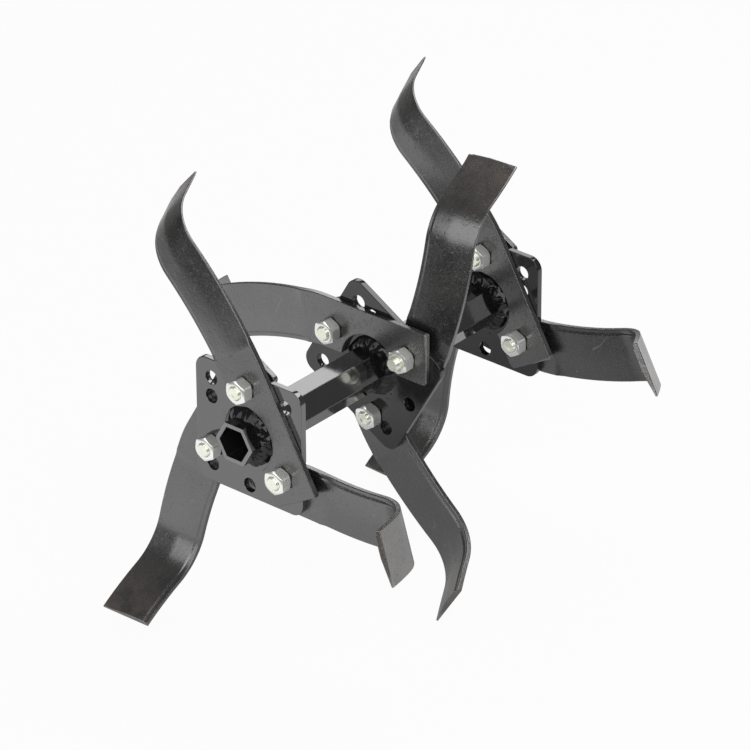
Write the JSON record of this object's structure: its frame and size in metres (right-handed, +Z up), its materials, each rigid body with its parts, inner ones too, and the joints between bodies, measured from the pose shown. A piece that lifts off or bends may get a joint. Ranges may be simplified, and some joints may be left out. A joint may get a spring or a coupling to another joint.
{
  "type": "rotary tiller tine set",
  "caption": "Soil-cutting rotor for a walk-behind tractor: a hexagon tube with square flanges welded across it, each carrying bolted steel tines that are swept, folded and bevelled.",
  "frame": {"origin": "on the hexagon tube's axis, at the middle flange's outer face", "axes": "+Y along the tube, from the free end to the end that faces the machine; +Z up as the set stands on its lower tines; the hexagon's corners lie on +X and -X"},
  "size_m": [0.3764, 0.372, 0.333],
  "materials": {
    "black_paint": "gloss black",
    "tine_steel": "satin black over forged steel, worn at the edges",
    "zinc_plate": "bright zinc plate"
  },
  "bodies": {
    "root": {"hex_tube": "black_paint", "front_flange": "black_paint", "middle_flange": "black_paint", "rear_flange": "black_paint", "front_outer_weld": "black_paint", "front_inner_weld": "black_paint", "middle_outer_weld": "black_paint", "middle_inner_weld": "black_paint", "rear_outer_weld": "black_paint", "rear_inner_weld": "black_paint", "front_tine_upper": "tine_steel", "front_tine_lower": "tine_steel", "front_tine_right": "tine_steel", "middle_tine_left": "tine_steel", "middle_tine_lower": "tine_steel", "middle_tine_upper": "tine_steel", "rear_tine_upper": "tine_steel", "rear_tine_lower": "tine_steel", "rear_tine_right": "tine_steel", "front_bolts": "zinc_plate", "middle_bolts": "zinc_plate", "rear_bolts": "zinc_plate", "front_nuts": "zinc_plate", "middle_nuts": "zinc_plate", "rear_nuts": "zinc_plate"}
  },
  "joints": []
}
